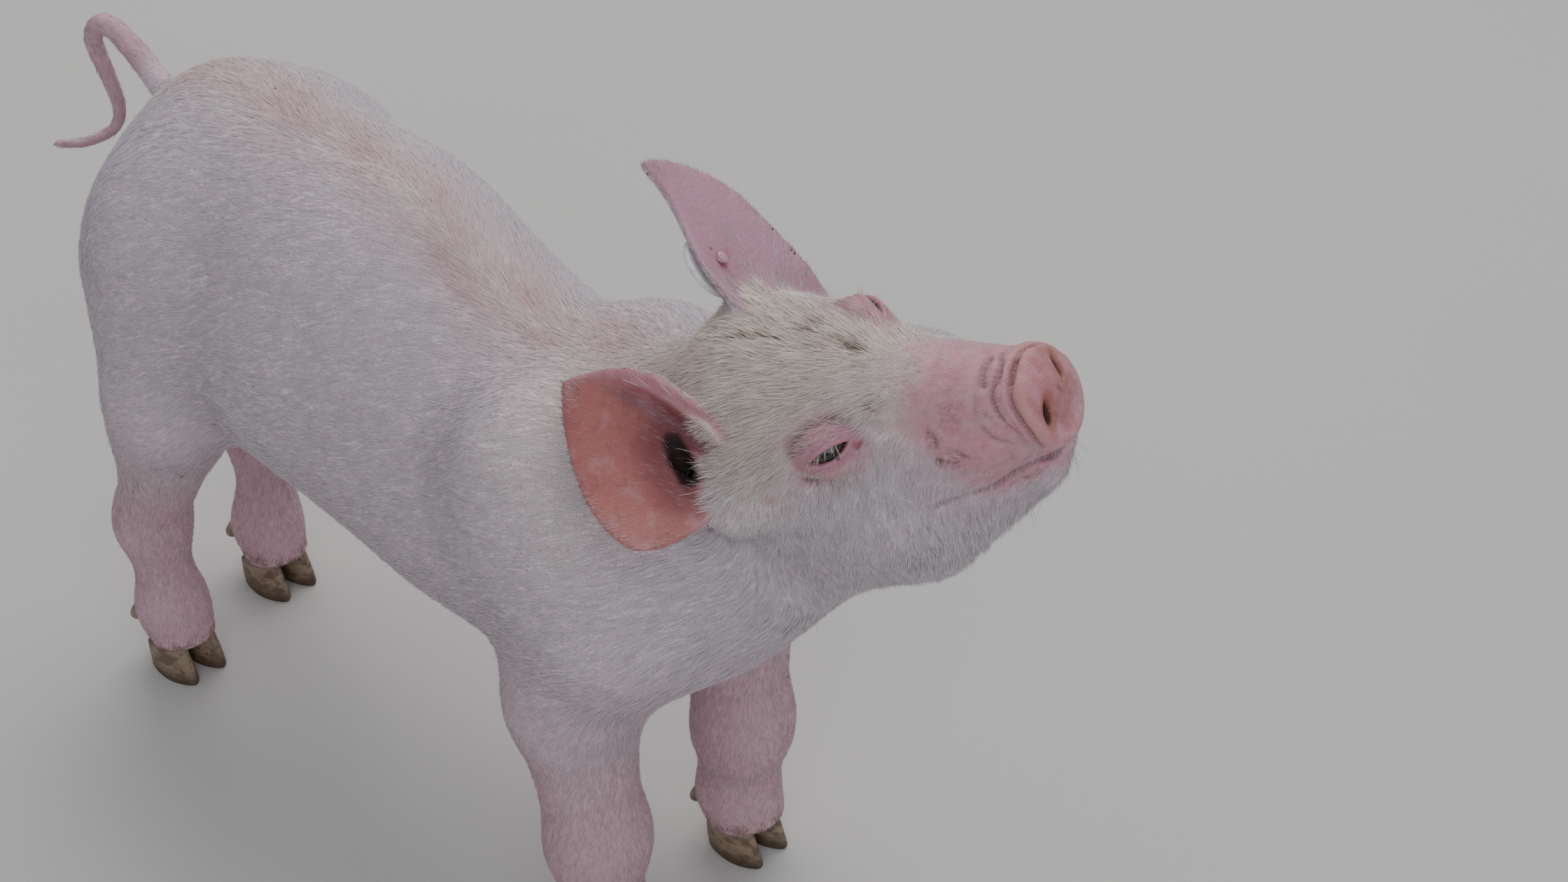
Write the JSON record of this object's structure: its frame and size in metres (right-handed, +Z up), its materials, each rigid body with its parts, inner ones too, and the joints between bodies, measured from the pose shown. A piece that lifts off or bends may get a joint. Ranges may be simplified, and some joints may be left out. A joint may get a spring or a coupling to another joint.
{
  "type": "pig",
  "caption": "Life-size still model of a young piglet standing on four legs, head raised and turned, with pricked ears, curled tail and a blank button tag in one ear.",
  "frame": {"origin": "on the floor under the middle of the animal's bounding box", "axes": "+X from the tail towards the head, +Y to the animal's left, +Z up"},
  "size_m": [0.5349, 0.1699, 0.3758],
  "materials": {
    "coat": "short pale bristle over pink skin, matte",
    "ear": "thin pink skin, satin",
    "snout": "bare moist skin, satin",
    "eye": "wet dark brown, glossy",
    "claw": "worn horn, satin",
    "tag": "white moulded plastic, slightly soiled"
  },
  "bodies": {
    "root": {"ear_left": "ear", "ear_right": "ear", "ear_tag": "tag", "ear_tag_stud": "tag", "eye_left": "eye", "eye_right": "eye", "front_left_claw_inner": "claw", "front_left_claw_outer": "claw", "front_left_dewclaw_inner": "claw", "front_left_dewclaw_outer": "claw", "front_left_leg": "coat", "front_right_claw_inner": "claw", "front_right_claw_outer": "claw", "front_right_dewclaw_inner": "claw", "front_right_dewclaw_outer": "claw", "front_right_leg": "coat", "head": "coat", "hind_left_claw_inner": "claw", "hind_left_claw_outer": "claw", "hind_left_dewclaw_inner": "claw", "hind_left_dewclaw_outer": "claw", "hind_left_leg": "coat", "hind_right_claw_inner": "claw", "hind_right_claw_outer": "claw", "hind_right_dewclaw_inner": "claw", "hind_right_dewclaw_outer": "claw", "hind_right_leg": "coat", "lower_jaw": "coat", "neck": "coat", "snout_disc": "snout", "tail": "coat", "trunk": "coat"}
  },
  "joints": []
}
